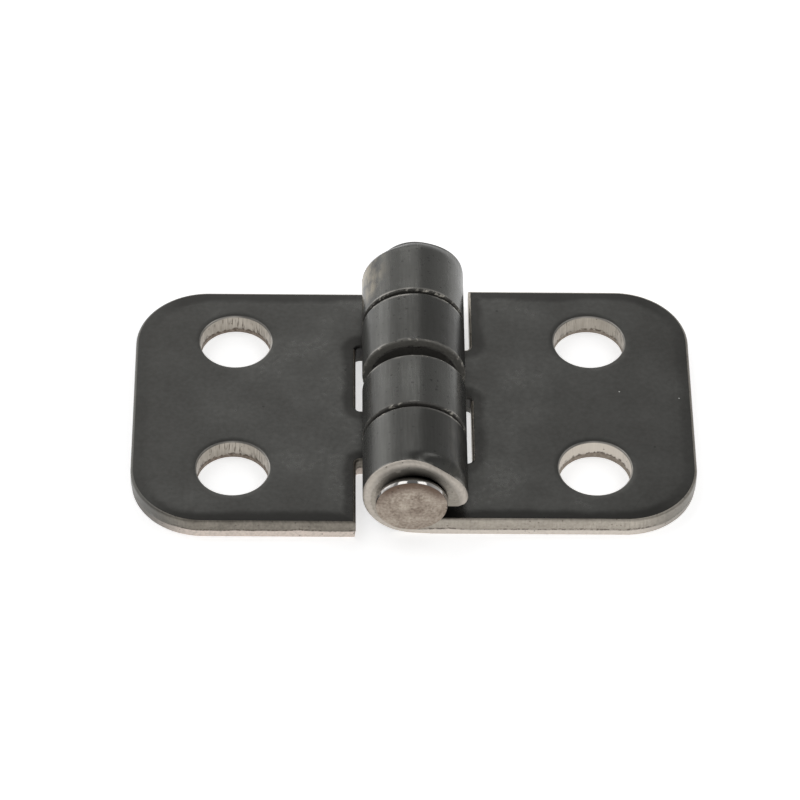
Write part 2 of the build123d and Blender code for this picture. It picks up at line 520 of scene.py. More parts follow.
@dataclass(frozen=True)
class CutSteel:
    """Bare steel of a blanked edge: burnished by the punch, then torn.

    A stretch is where an effect fades along the run, from the free end outwards, unless it says otherwise.
    Some of its colour is painted light: shade near the pin, a painted shadow by the pin's head, painted shade
    towards the leaf's outer sides, and nicks that double as painted glints.
    """

    effects: SurfaceEffects
    name: str
    burnish_share: float
    burnished: Colour
    stained: Colour
    torn: Colour
    pitted: Colour
    drag_share: float
    wander_share: float = 0.13
    front_tear: float = 0.0
    shade: Colour = (0.115, 0.108, 0.095, 1.0)
    # Painted shadow in the crevice above the pin's head
    head_shadow: Colour = (0.018, 0.016, 0.013, 1.0)
    shade_round_pin: float = 0.0
    fresh: Colour = (0.80, 0.735, 0.65, 1.0)
    fresh_front_share: float = 0.0
    # Dark scale colour, also used as painted shade towards the leaf's outer sides
    scale_and_shade: Colour = (0.11, 0.11, 0.104, 1.0)
    scaled_rim_share: float = 0.0
    shaded_side_share: float = 0.0
    # Bright nicks along the outer rim, which also stand in as painted glints
    nick: Colour = (0.62, 0.59, 0.52, 1.0)
    nick_share: float = 0.0
    metallic: float = 0.75
    relief: Pair = (0.5, 0.03 * MM)
    free_end: Stretch = (-16.5 * MM, -13.0 * MM)
    top_of_roll: Stretch = (-14.5 * MM, -12.5 * MM)
    far_side: Stretch = (-10.0 * MM, -5.5 * MM)
    roll_root: Stretch = (-4.0 * MM, 1.0 * MM)
    scaled_root: Stretch = (-4.0 * MM, -2.0 * MM)
    outer_corner: Stretch = (18.8 * MM, 24.0 * MM)
    middle_along: Stretch = (-4.0 * MM, 4.0 * MM)

    def material(self) -> bpy.types.Material:
        """Builds the finish.

        Returns:
            The material.
        """
        material, graph = start_material(self.name)
        place = graph.stored("cut")
        depth = graph.split(place)["Y"]
        blank = graph.stored("blank")
        run, along, _ = graph.split(blank)
        grain = partial(graph.use, self.effects.grain, Place=place)
        drag = grain(Size=(0.17 * MM, 2.0, 1.0), Detail=3.0, Contrast=2.2)
        stain = grain(Size=(2.6 * MM, 1.1, 1.0), Detail=5.0, Contrast=2.6)
        crumbs = grain(Size=(0.3 * MM, 0.17, 1.0), Detail=4.0, Contrast=2.6)
        gouges = grain(Size=(0.11 * MM, 0.9, 1.0), Detail=1.0, Contrast=3.0)
        pits = graph.use(self.effects.specks, Place=blank, Spacing=0.4 * MM, Width=0.08 * MM, Share=0.25)
        wander = graph.times(graph.minus(stain, 0.5), self.wander_share)
        ragged = graph.times(graph.minus(crumbs, 0.5), 0.06)
        front_tear = graph.ramp(along, *self.middle_along, self.front_tear, 0.0)
        level = graph.plus(depth, wander, ragged, front_tear)
        tear = graph.ramp(level, self.burnish_share - 0.03, self.burnish_share + 0.03)
        seam = graph.times(
            graph.ramp(level, self.burnish_share - 0.12, self.burnish_share - 0.01),
            graph.ramp(level, self.burnish_share + 0.01, self.burnish_share + 0.08, 1.0, 0.0),
        )
        mix = graph.plus(
            graph.times(drag, self.drag_share),
            graph.times(crumbs, 0.55 - self.drag_share),
            graph.times(stain, 0.45),
        )
        colour = graph.blend(mix, self.stained, self.burnished)
        deep = graph.times(graph.ramp(gouges, 0.66, 0.92), graph.ramp(stain, 0.35, 0.75))
        colour = graph.tint(colour, self.pitted, deep, 1.6 * self.drag_share)
        grit = graph.blend(graph.ramp(crumbs, 0.15, 0.7, 0.74, 1.0), self.burnished, self.torn)
        smoothed = graph.ramp(run, *self.roll_root, 1.0 - 0.6 * self.shade_round_pin, 1.0)
        colour = graph.tint(colour, grit, tear, smoothed)
        fresh = graph.ramp(along, *self.middle_along, self.fresh_front_share, 0.0)
        colour = graph.tint(colour, self.fresh, fresh, graph.minus(1.0, tear))
        off_roll = graph.ramp(run, *self.roll_root, 1.0 - self.shade_round_pin, 1.0)
        crumbled = graph.times(crumbs, graph.ramp(stain, 0.2, 0.6, 0.6, 1.0))
        colour = graph.tint(colour, self.pitted, seam, off_roll, graph.ramp(crumbled, 0.3, 0.6, 0.1, 0.9))
        colour = graph.tint(colour, self.pitted, pits, 0.55)
        # Painted shade: the edge darker towards the leaf's outer sides
        colour = graph.tint(
            colour, self.scale_and_shade, graph.ramp(run, *self.outer_corner, 0.0, self.shaded_side_share)
        )
        half = graph.plus(depth, graph.times(wander, 0.6))
        over_pin = graph.ramp(run, *self.far_side, self.shade_round_pin, 0.0)
        inner = graph.times(over_pin, graph.ramp(half, 0.64, 0.96, 1.0, 0.0))
        colour = graph.tint(colour, self.shade, inner, graph.ramp(run, *self.free_end, 0.4, 1.0))
        # Painted shadow next to the top of the pin's head, darkest at the inner part of the ring
        head_shadow_share = graph.times(over_pin, graph.ramp(run, *self.top_of_roll))
        colour = graph.tint(colour, self.head_shadow, head_shadow_share, graph.ramp(half, 0.22, 0.62, 1.0, 0.0))
        scaled_rim = graph.ramp(run, *self.scaled_root, self.scaled_rim_share, 0.0)
        colour = graph.tint(colour, self.scale_and_shade, scaled_rim, graph.ramp(half, 0.62, 0.78))
        # Nicks along the outer rim, partly painted glints
        nicks_and_glints = graph.times(graph.ramp(crumbs, 0.5, 0.85), graph.ramp(stain, 0.4, 0.7))
        colour = graph.tint(colour, self.nick, nicks_and_glints, graph.ramp(depth, 0.86, 0.95, 0.0, self.nick_share))
        roughness = graph.ramp(tear, 0.0, 1.0, 0.38, 0.56)
        height = graph.blend(tear, graph.plus(graph.times(mix, 0.8), deep), crumbs)
        end_steel(graph, colour, roughness, self.metallic, height, self.relief)
        return material


@dataclass(frozen=True)
class UpsetSteel:
    """Hammered end of the pin: dull, mottled and faintly ringed."""

    effects: SurfaceEffects
    pale: Colour = (0.58, 0.51, 0.43, 1.0)
    brown: Colour = (0.17, 0.122, 0.09, 1.0)
    rust: Colour = (0.13, 0.085, 0.06, 1.0)
    pitted: Colour = (0.06, 0.045, 0.035, 1.0)
    metallic: float = 0.7
    relief: Pair = (0.4, 0.03 * MM)
    rim_by_radius: Stretch = (2.0 * MM, 3.2 * MM)
    upper_half: Stretch = (0.0, 2.2 * MM)

    def material(self) -> bpy.types.Material:
        """Builds the finish.

        Returns:
            The material.
        """
        material, graph = start_material("upset_steel")
        place = graph.stored("turned")
        flat = graph.stored("face")
        radius = graph.split(place)["X"]
        above_axis = graph.split(flat)["Y"]
        grain = partial(graph.use, self.effects.grain)
        blotch = grain(Place=flat, Size=(1.5 * MM,) * 3, Detail=6.0, Contrast=2.4)
        fine = grain(Place=flat, Size=(0.26 * MM,) * 3, Detail=5.0, Contrast=3.0)
        rings = grain(Place=place, Size=(0.16 * MM, 2.4 * MM, MM), Detail=2.0, Contrast=1.6)
        pits = graph.use(self.effects.specks, Place=flat, Spacing=0.6 * MM, Width=0.11 * MM, Share=0.35)
        tone = graph.plus(graph.times(blotch, 0.5), graph.times(fine, 0.35), graph.times(rings, 0.15))
        colour = graph.blend(tone, self.brown, self.pale)
        rim = graph.ramp(graph.plus(radius, graph.times(blotch, 0.5 * MM)), *self.rim_by_radius)
        colour = graph.tint(colour, self.rust, rim, graph.ramp(above_axis, *self.upper_half, 0.1, 1.0))
        colour = graph.tint(colour, self.pitted, pits, 0.5)
        roughness = graph.ramp(tone, 0.25, 0.75, 0.58, 0.42)
        height = graph.plus(fine, graph.times(rings, 0.6))
        end_steel(graph, colour, roughness, self.metallic, height, self.relief)
        return material


@dataclass(frozen=True)
class BrightSteel:
    """Drawn and polished steel of the pin's round sides."""

    effects: SurfaceEffects
    bright: Colour = (0.56, 0.545, 0.53, 1.0)
    dull: Colour = (0.30, 0.285, 0.27, 1.0)
    metallic: float = 1.0
    relief: Pair = (0.1, 0.01 * MM)

    def material(self) -> bpy.types.Material:
        """Builds the finish.

        Returns:
            The material.
        """
        material, graph = start_material("bright_steel")
        place = graph.stored("turned")
        grain = partial(graph.use, self.effects.grain, Place=place)
        lines = grain(Size=(MM, 6 * MM, 0.12 * MM), Detail=3.0, Contrast=1.5)
        clouds = grain(Size=(1.4 * MM,) * 3, Contrast=1.6)
        scratches = graph.use(
            self.effects.scratches, Place=place, Length=2 * MM, Width=0.05 * MM, Share=0.3
        )
        tone = graph.plus(graph.times(lines, 0.5), graph.times(clouds, 0.5))
        colour = graph.blend(tone, self.dull, self.bright)
        roughness = graph.ramp(tone, 0.2, 0.8, 0.16, 0.07)
        height = graph.minus(graph.times(lines, 0.4), scratches)
        end_steel(graph, colour, roughness, self.metallic, height, self.relief)
        return material


@dataclass(frozen=True)
class PaleFloor:
    """White studio table. Seen from below it isn't there, so that the undersides show."""

    white: Colour = (0.80, 0.80, 0.80, 1.0)
    glow: float = 0.60

    def material(self) -> bpy.types.Material:
        """Builds the finish.

        Returns:
            The material.
        """
        material, graph = start_material("pale_floor")
        ray = graph.add("ShaderNodeLightPath").outputs
        seen = graph.maths("MAXIMUM", ray["Is Camera Ray"], ray["Is Glossy Ray"])
        seen = graph.maths("MAXIMUM", seen, ray["Is Transmission Ray"])
        paper = graph.add("ShaderNodeBsdfDiffuse", {"Color": self.white})
        light = graph.add("ShaderNodeEmission", {"Strength": graph.times(seen, self.glow)})
        lit = graph.add("ShaderNodeAddShader", {0: paper.outputs[0], 1: light.outputs[0]})
        clear = graph.add("ShaderNodeBsdfTransparent")
        below = graph.add("ShaderNodeNewGeometry").outputs["Backfacing"]
        surface = graph.add("ShaderNodeMixShader", {0: below, 1: lit.outputs[0], 2: clear.outputs[0]})
        end_material(graph, surface.outputs[0])
        return material


class CutLine:
    """A closed line along which the blank was cut, walked with the metal on its left."""

    step = 0.2 * MM
    least_arc_steps = 6

    def __init__(self, start: Pair) -> None:
        """Starts the line at a point, given as its run and along."""
        self._corners: list[Pair] = [start]
        self._steps: list[int] = []

    def line_to(self, run: float, along: float) -> "CutLine":
        """Cuts straight to a point.

        Args:
            run: Distance from the pin along the sheet.
            along: Distance along the pin.

        Returns:
            The line itself.
        """
        length = math.dist(self._corners[-1], (run, along))
        self._corners.append((run, along))
        self._steps.append(max(1, round(length / self.step)))
        return self

    def arc(self, centre: Pair, radius: float, start: float, sweep: float) -> "CutLine":
        """Cuts round an arc that begins where the line has got to.

        Args:
            centre: Run and along of the arc's centre.
            radius: Its radius.
            start: Its first angle in degrees, anticlockwise from the run's direction.
            sweep: Angle to the arc's end, negative if clockwise.

        Returns:
            The line itself.
        """
        count = max(self.least_arc_steps, round(abs(math.radians(sweep)) * radius / self.step))
        for i in range(1, count + 1):
            angle = math.radians(start + sweep * i / count)
            self._corners.append((centre[0] + radius * math.cos(angle), centre[1] + radius * math.sin(angle)))
            self._steps.append(1)
        return self

    def _spread(self, rows: np.ndarray) -> np.ndarray:
        """Fills in between the corners: one row for each of them makes one for each point of the line."""
        pairs = zip(rows, np.roll(rows, -1, axis=0), self._steps, strict=True)
        return np.concatenate([row + (after - row) * np.arange(n)[:, None] / n for row, after, n in pairs])

    @cached_property
    def places(self) -> np.ndarray:
        """Rows of run and along. The line ends where it began, and that point counts once."""
        return self._spread(np.array(self._corners[:-1]))

    @cached_property
    def outward(self) -> np.ndarray:
        """The way off the metal at each point, such that an inset keeps its width in the corners."""
        corners = np.array(self._corners[:-1])
        ahead = np.roll(corners, -1, axis=0) - corners
        ahead /= np.linalg.norm(ahead, axis=1, keepdims=True)
        normal = np.stack([ahead[:, 1], -ahead[:, 0]], axis=1)
        before = np.roll(normal, 1, axis=0)
        return self._spread((normal + before) / (1 + np.sum(normal * before, axis=1, keepdims=True)))

    @cached_property
    def travel(self) -> np.ndarray:
        """Distance of each point along the line."""
        steps = np.linalg.norm(np.diff(self.places, axis=0), axis=1)
        return np.concatenate([[0.0], np.cumsum(steps)])

    def inset(self, distance: np.ndarray | float) -> np.ndarray:
        """Moves the line into the metal, by one distance or by one for each point."""
        return self.places - self.outward * np.broadcast_to(distance, len(self.places))[:, None]


@dataclass(frozen=True)
class EdgeSection:
    """Section that blanking leaves on an edge, from the drawn-in top to the tumbled burr below."""

    burnish_share: float
    roll_width: float = 1.4 * MM
    roll_drop: float = 0.06 * MM
    roll_power: float = 1.35
    lip_radius: float = 0.22 * MM
    bare_lip: bool = True
    burnish_wander: float = 0.05
    wander_size: float = 1.1 * MM
    tear_step: float = 0.008 * MM
    tear_taper: float = 0.06 * MM
    tear_grain: float = 0.02 * MM
    tear_grain_size: float = 0.5 * MM
    least_tear: float = 0.15 * MM
    burr_radius: float = 0.10 * MM
    draw_width: float = 1.0 * MM
    skin_shares: tuple[float, ...] = (1.0, 0.82, 0.66, 0.52, 0.40, 0.29, 0.20)
    lip_turns: tuple[float, ...] = (18.0, 36.0, 54.0, 72.0, 90.0)
    wall_shares: tuple[float, ...] = (0.1, 0.3, 0.6)
    tear_shares: tuple[float, ...] = (0.0, 0.33, 0.66, 1.0)
    burr_turns: tuple[float, ...] = (25.0, 50.0, 75.0, 90.0)
    draw_shares: tuple[float, ...] = (0.08, 0.22, 0.4, 0.6, 0.8, 1.0)

    def rings(
        self, line: CutLine, sheet: float, drop: np.ndarray, burr: np.ndarray, draw: np.ndarray, seed: float
    ) -> list[Ring]:
        """Lays the section along a cut line.

        Args:
            line: The cut line.
            sheet: Thickness of the sheet.
            drop: How far the upper face is drawn down at each point.
            burr: Radius of the lower corner at each point.
            draw: How far the lower face is drawn up at each point.
            seed: Picks the unevenness.

        Returns:
            Inset and depth at each point, ring by ring, from the upper face over the edge to the lower face.
        """
        level = np.ones(len(line.places))
        wander = self.burnish_wander * ripple(line.places, self.wander_size, seed)
        lip_end = drop + self.lip_radius
        torn_to = sheet - draw - burr
        torn_from = np.minimum((self.burnish_share + wander) * sheet, torn_to - self.least_tear)
        step_end = torn_from + self.tear_step
        rings = []
        for share in (*self.skin_shares, self.lip_radius / self.roll_width):
            rings.append((level * share * self.roll_width, drop * (1 - share) ** self.roll_power))
        for angle in map(math.radians, self.lip_turns):
            inset = self.lip_radius * (1 - math.sin(angle))
            rings.append((level * inset, lip_end - self.lip_radius * math.cos(angle)))
        for share in self.wall_shares:
            rings.append((level * 0.0, lip_end + (torn_from - lip_end) * share))
        rings.append((level * 0.0, torn_from - self.tear_step))
        for share in self.tear_shares:
            uneven = (1 + ripple(line.places, self.tear_grain_size, seed + 3 + 2 * share)) / 2
            foot = self.tear_step + self.tear_taper * share + self.tear_grain * uneven
            rings.append((foot, step_end + (torn_to - step_end) * share))
        for angle in map(math.radians, self.burr_turns):
            rings.append((foot + burr * (1 - math.cos(angle)), sheet - draw - burr * (1 - math.sin(angle))))
        for share in self.draw_shares:
            rings.append((foot + burr + share * self.draw_width, sheet - draw * (1 - share) ** 2))
        return rings

    @property
    def first_cut_ring(self) -> int:
        """Number of the ring at which the dark skin ends and bare steel begins."""
        return len(self.skin_shares) + (0 if self.bare_lip else len(self.lip_turns))

    @property
    def last_cut_ring(self) -> int:
        """Number of the ring at which bare steel ends and the lower skin begins."""
        walls = len(self.wall_shares) + 1 + len(self.tear_shares)
        return len(self.skin_shares) + len(self.lip_turns) + walls + len(self.burr_turns)


class FlatMesh:
    """A leaf's mesh as it is laid out on the flat blank."""

    def __init__(self) -> None:
        """Starts with nothing laid out."""
        self.faces: list[list[int]] = []
        self.zones: list[int] = []
        self._blank: list[np.ndarray] = []
        self._cut: list[np.ndarray] = []
        self._count = 0

    def add_points(self, flat: np.ndarray, depth: np.ndarray | float, *cut: np.ndarray | float) -> np.ndarray:
        """Adds points.

        Args:
            flat: Rows of run and along.
            depth: Depth below the upper face, for all points or for each.
            *cut: Travel along the cut, depth as a share of the sheet, and distance off the rim.

        Returns:
            The points' numbers.
        """
        spread = [np.broadcast_to(value, len(flat)) for value in (depth, *cut)]
        self._blank.append(np.column_stack([flat, spread[0]]))
        self._cut.append(np.column_stack(spread[1:]))
        self._count += len(flat)
        return np.arange(self._count - len(flat), self._count)

    def add_faces(self, corners: Sequence[Sequence[int]], zones: Sequence[LeafZone]) -> None:
        """Adds faces, each with its zone."""
        self.faces += corners
        self.zones += [zone.value for zone in zones]

    @property
    def blank(self) -> np.ndarray:
        """Rows of run, along and depth."""
        return np.concatenate(self._blank)

    @property
    def cut(self) -> np.ndarray:
        """Rows of travel, share of the depth, and distance off the rim."""
        return np.concatenate(self._cut)


@dataclass
class Leaf:
    """One leaf: a blank of sheet steel with two tongues rolled into knuckles.

    Its sizes are those of the right leaf, and the left one is the same piece turned end for end. A place
    on the flat blank is its run, the distance from below the pin along the sheet (negative round the
    roll), its along, the distance along the pin, and its depth below the upper face. Turns are in degrees
    round the pin from the lowest point of the roll.
    """

    side: Side
    rim_section: EdgeSection
    reach: float
    front: float
    rear: float
    roll_outside: float
    hole_row: float
    hole_middle: float
    hole_spacing: float
    hole_radius: float
    sheet: float = 2.0 * MM
    corner_radius: float = 6.5 * MM
    end_knuckle_extra: float = 0.8 * MM
    knuckle_gap: float = 0.65 * MM
    middle_gap: float = 1.2 * MM
    notch_clearance: float = 0.55 * MM
    notch_corner_radius: float = 0.4 * MM
    roll_end_gap: float = 1.7 * MM
    roll_end_radius: float = 0.5 * MM
    roll_end_reach: float = 0.2 * MM
    roll_blend: Stretch = (-1.0 * MM, 1.5 * MM)
    free_end_power: float = 8.0
    outer_rim_radius: float = 0.36 * MM
    inner_rim_radius: float = 0.16 * MM
    outer_rim_reach: float = 0.1 * MM
    shoulder_draw: float = 0.72 * MM
    shoulder_turn: float = 226.0
    shoulder_spread: float = 60.0
    crown_draw: float = 0.0
    crown_turn: float = 172.0
    crown_spread: float = 60.0
    bore_flare: float = 0.2 * MM
    flare_turn: float = 165.0
    flare_spread: float = 85.0
    hole_section: EdgeSection = EdgeSection(
        burnish_share=HOLE_BURNISH,
        roll_width=0.6 * MM,
        roll_power=2.0,
        lip_radius=0.12 * MM,
        bare_lip=False,
        skin_shares=(1.0, 0.85, 0.7, 0.56, 0.44, 0.33, 0.26),
        tear_step=0.01 * MM,
        tear_taper=-0.06 * MM,
        burr_radius=0.05 * MM,
    )
    # In the distances off the rim, an open face has the first mark, and a hole's lip counts back
    # from the second
    open_face_mark: float = 3.0 * MM
    hole_rim_mark: float = 4.0 * MM
    flat_step: float = 2.0 * MM
    roll_start: float = 0.6 * MM
    rows_across_roll: int = 9
    infill_gap: float = 0.12 * MM
    hair: float = 0.01 * MM

    @classmethod
    def from_frame(cls, side: Side) -> "Leaf":
        """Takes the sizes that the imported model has.

        Args:
            side: Which leaf to make.

        Returns:
            The leaf, not built yet.
        """
        low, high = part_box(Side.RIGHT.node)
        holes = next(m for m in frame["record"]["mounts"] if m["name"] == "right_screw_holes")
        hole_lead = 0.1 * MM
        drawn = {
            Side.RIGHT: {},
            Side.LEFT: {
                "shoulder_draw": 0.86 * MM,
                "shoulder_turn": 241.0,
                "shoulder_spread": 68.0,
                "crown_draw": 0.32 * MM,
            },
        }
        return cls(
            side=side,
            rim_section=EdgeSection(burnish_share=EDGE_BURNISH[side]),
            reach=high.x,
            front=low.y,
            rear=high.y,
            roll_outside=high.z / 2,
            hole_row=holes["pos_m"][0],
            hole_middle=holes["pos_m"][1] - hole_lead,
            hole_spacing=holes["dims"]["spacing_y_mm"] * MM,
            hole_radius=holes["dims"]["hole_r_mm"] * MM,
            **drawn[side],
        )

    @property
    def seed(self) -> float:
        """Picks this leaf's unevenness."""
        return 11.0 * self.side.value

    @property
    def roll_inside(self) -> float:
        """Inner radius of the knuckles."""
        return self.roll_outside - self.sheet

    @property
    def roll_middle(self) -> float:
        """Radius at the middle of the rolled sheet, where the run keeps its length."""
        return self.roll_outside - self.sheet / 2

    @property
    def notch(self) -> float:
        """Run of the notches' roots."""
        return self.roll_outside + self.notch_clearance

    @property
    def tongues(self) -> list[Pair]:
        """Front and rear end of each tongue: the one at the end of the barrel, then the inner one."""
        spent = 2 * self.end_knuckle_extra + 2 * self.knuckle_gap + self.middle_gap
        inner = (self.rear - self.front - spent) / 4
        end_rear = self.front + inner + self.end_knuckle_extra
        inner_front = end_rear + self.knuckle_gap + inner + self.middle_gap
        return [(self.front, end_rear), (inner_front, inner_front + inner)]

    def end_turn(self, radius: np.ndarray | float) -> np.ndarray | float:
        """Angle round the pin, in radians at a radius, at which the free end stands so that it is level."""
        below_axis = self.roll_outside - self.sheet - self.roll_end_gap
        return 2 * math.pi - np.arccos(below_axis / radius)

    @property
    def tongue_end(self) -> float:
        """Run of the tongues' free ends, without its sign."""
        return float(self.end_turn(self.roll_middle)) * self.roll_middle

    def outermost(self, line: CutLine) -> np.ndarray:
        """Share of each point of a cut line: 1 at the outer end of the barrel and 0 elsewhere."""
        return np.clip((self.front - line.places[:, 1]) / self.outer_rim_reach + 1, 0, 1)

    def round_roll(self, line: CutLine, turn: float, spread: float) -> np.ndarray:
        """Picks a stretch of the roll at the outer end of the barrel.

        Args:
            line: A cut line.
            turn: Middle of the stretch.
            spread: Half of its length.

        Returns:
            Share of each point: 1 in the middle, fading to 0 at the ends of the stretch.
        """
        turns = np.degrees(-line.places[:, 0] / self.roll_middle)
        off = np.clip(np.abs(turns - turn) / spread, 0, 1)
        return np.cos(off * math.pi / 2) ** 2 * self.outermost(line)

    def outline(self) -> CutLine:
        """Cuts round the leaf, its notches and its tongues.

        Returns:
            The cut line.
        """
        end = self.tongue_end
        round_off = self.corner_radius
        notch = self.notch
        inner = self.notch_corner_radius
        line = CutLine((-end, self.front)).line_to(self.reach - round_off, self.front)
        line.arc((self.reach - round_off, self.front + round_off), round_off, -90, 90)
        line.line_to(self.reach, self.rear - round_off)
        line.arc((self.reach - round_off, self.rear - round_off), round_off, 0, 90)
        line.line_to(notch, self.rear)
        for low, high in reversed(self.tongues):
            line.line_to(notch, high + inner).arc((notch - inner, high + inner), inner, 0, -90)
            line.line_to(-end, high).line_to(-end, low)
            if low > self.front:
                line.line_to(notch - inner, low).arc((notch - inner, low - inner), inner, 90, -90)
        return line

    def edge_zones(self, line: CutLine) -> list[LeafZone]:
        """Tells the leaf's open edges from the knuckle ends that face each other.

        Args:
            line: The outline.

        Returns:
            The zone of the edge at each of its points.
        """
        inner_front, inner_rear = self.tongues[-1]
        zones = []
        for run, along in line.places:
            is_root = run >= self.notch - self.hair
            is_open = run > self.roll_inside and along >= inner_rear
            is_outside = along <= self.front + self.hair or run <= -self.tongue_end + self.hair
            if is_root or is_open or is_outside:
                zones.append(LeafZone.CUT_EDGE)
            elif abs(along - inner_front) < self.notch_corner_radius:
                zones.append(LeafZone.KNUCKLE_END)
            else:
                zones.append(LeafZone.TIGHT_END)
        return zones

    def holes(self) -> list[CutLine]:
        """Cuts the screw holes.

        Returns:
            A cut line for each.
        """
        lines = []
        for along in (self.hole_middle - self.hole_spacing / 2, self.hole_middle + self.hole_spacing / 2):
            line = CutLine((self.hole_row + self.hole_radius, along))
            lines.append(line.arc((self.hole_row, along), self.hole_radius, 0, -360))
        return lines

    def roll(self, blank: np.ndarray) -> np.ndarray:
        """Rolls the flat blank round the pin and turns the leaf to its side.

        Args:
            blank: Rows of run, along and depth.

        Returns:
            Rows of x, y and z.
        """
        run, along, depth = blank.T
        radius = self.roll_inside + depth
        middle = self.end_turn(self.roll_middle)
        turn = np.maximum(-run, 0.0) / self.roll_middle
        turn = turn * (1 + (turn / middle) ** self.free_end_power * (self.end_turn(radius) / middle - 1))
        x = np.where(run > 0, run, -radius * np.sin(turn))
        z = np.where(run > 0, self.sheet - depth, self.roll_outside - radius * np.cos(turn))
        return np.stack([x * self.side.value, along * self.side.value, z], axis=1)

    def infill(self, loops: Sequence[np.ndarray]) -> np.ndarray:
        """Spreads points over a face, close together where it will be rolled.

        Args:
            loops: Rows of run and along round the face and round each hole in it.

        Returns:
            Rows of run and along.
        """
        step = self.flat_step
        grids = [np.meshgrid(np.arange(0, self.reach, step), np.arange(self.front, self.rear, step))]
        for low, high in self.tongues:
            runs = np.arange(-self.tongue_end, self.roll_start, CutLine.step)
            grids.append(np.meshgrid(runs, np.linspace(low, high, self.rows_across_roll)))
        points = np.concatenate([np.stack([axis.ravel() for axis in grid], axis=1) for grid in grids])
        inside = np.zeros(len(points), bool)
        gap = np.full(len(points), np.inf)
        for loop in loops:
            after = np.roll(loop, -1, axis=0)
            spans = (loop[:, 1] > points[:, 1:]) != (after[:, 1] > points[:, 1:])
            rise = np.where(after[:, 1] == loop[:, 1], 1.0, after[:, 1] - loop[:, 1])
            crossing = loop[:, 0] + (points[:, 1:] - loop[:, 1]) / rise * (after[:, 0] - loop[:, 0])
            inside ^= (np.sum(spans & (points[:, :1] < crossing), axis=1) % 2).astype(bool)
            gap = np.minimum(gap, np.min(np.linalg.norm(points[:, None] - loop[None], axis=2), axis=1))
        return points[inside & (gap > self.infill_gap)]

    def triangles(self, loops: Sequence[np.ndarray], inner: np.ndarray) -> list[list[int]]:
        """Triangulates a face of the blank.

        Args:
            loops: Rows of run and along round the face and round each hole in it.
            inner: Rows of run and along inside it.

        Returns:
            Triangles, anticlockwise from above, as numbers into the loops' points and then the inner ones.
        """
        edges, owner = [], []
        for number, loop in enumerate(loops):
            start, count = len(owner), len(loop)
            edges += [(start + i, start + (i + 1) % count) for i in range(count)]
            owner += [number] * count
        owner += [0] * len(inner)
        inside_only, nearest = 1, 1e-6
        points = [Vector(row) for row in np.concatenate([*loops, inner]) / MM]
        _, _, made, origins, _, _ = delaunay_2d_cdt(points, edges, [], inside_only, nearest)
        triangles = [[origins[i][0] for i in triangle] for triangle in made]
        return [row for row in triangles if len({owner[i] for i in row}) > 1 or owner[row[0]] == 0]

    def lay_edge(self, mesh: FlatMesh, line: CutLine, section: EdgeSection) -> Ring:
        """Lays out the edge along a cut line.

        Args:
            mesh: The leaf's mesh, which gets the edge.
            line: The cut line.
            section: Section of the edge.

        Returns:
            Numbers of the points of its first ring, on the upper face, and of its last, on the lower one.
        """
        is_rim = section is self.rim_section
        runs = line.places[:, 0]
        flat_from = self.roll_blend[1]
        rolled = np.clip((flat_from - runs) / (flat_from - self.roll_blend[0]), 0, 1)
        at_end = np.clip((-runs - self.tongue_end) / self.roll_end_reach + 1, 0, 1)
        rim = self.inner_rim_radius + (self.outer_rim_radius - self.inner_rim_radius) * self.outermost(line)
        burr = section.burr_radius + (rim - section.burr_radius) * rolled
        burr += (self.roll_end_radius - burr) * at_end
        draw = self.shoulder_draw * self.round_roll(line, self.shoulder_turn, self.shoulder_spread)
        draw += self.crown_draw * self.round_roll(line, self.crown_turn, self.crown_spread)
        drop = section.roll_drop * (1 - rolled / 2)
        drop += self.bore_flare * self.round_roll(line, self.flare_turn, self.flare_spread)
        rings = section.rings(line, self.sheet, drop, burr, draw, self.seed)
        bare = self.edge_zones(line) if is_rim else [LeafZone.PUNCHED_HOLE] * len(runs)
        skin = [LeafZone.SKIN] * len(runs)
        laid = []
        for number, (inset, depth) in enumerate(rings):
            off_rim = np.maximum(np.minimum(depth, self.sheet - depth), 0)
            if number <= section.first_cut_ring:
                off_rim = inset if is_rim else self.hole_rim_mark - inset
            elif number >= section.last_cut_ring:
                off_rim = inset - rings[section.last_cut_ring][0]
            share = depth / (self.sheet - draw)
            here = mesh.add_points(line.inset(inset), depth, line.travel, share, off_rim)
            if laid:
                above = laid[-1]
                quads = np.column_stack([above, here, np.roll(here, -1), np.roll(above, -1)])
                is_bare = section.first_cut_ring < number <= section.last_cut_ring
                mesh.add_faces(quads.tolist(), bare if is_bare else skin)
            laid.append(here)
        return laid[0], laid[-1]

    def lay_face(self, mesh: FlatMesh, rings: Sequence[np.ndarray], on_top: bool) -> None:
        """Closes the upper or the lower face of the blank.

        Args:
            mesh: The leaf's mesh, which gets the face.
            rings: Numbers of the points round the face and round each hole in it.
            on_top: Whether it is the upper face.
        """
        depth = 0.0 if on_top else self.sheet
        blank = mesh.blank
        loops = [blank[ring, :2] for ring in rings]
        inner = self.infill(loops)
        added = mesh.add_points(inner, depth, 0.0, depth / self.sheet, self.open_face_mark)
        numbers = np.concatenate([*rings, added])
        corners = numbers[np.array(self.triangles(loops, inner))]
        corners = corners if on_top else corners[:, ::-1]
        mesh.add_faces(corners.tolist(), [LeafZone.SKIN] * len(corners))

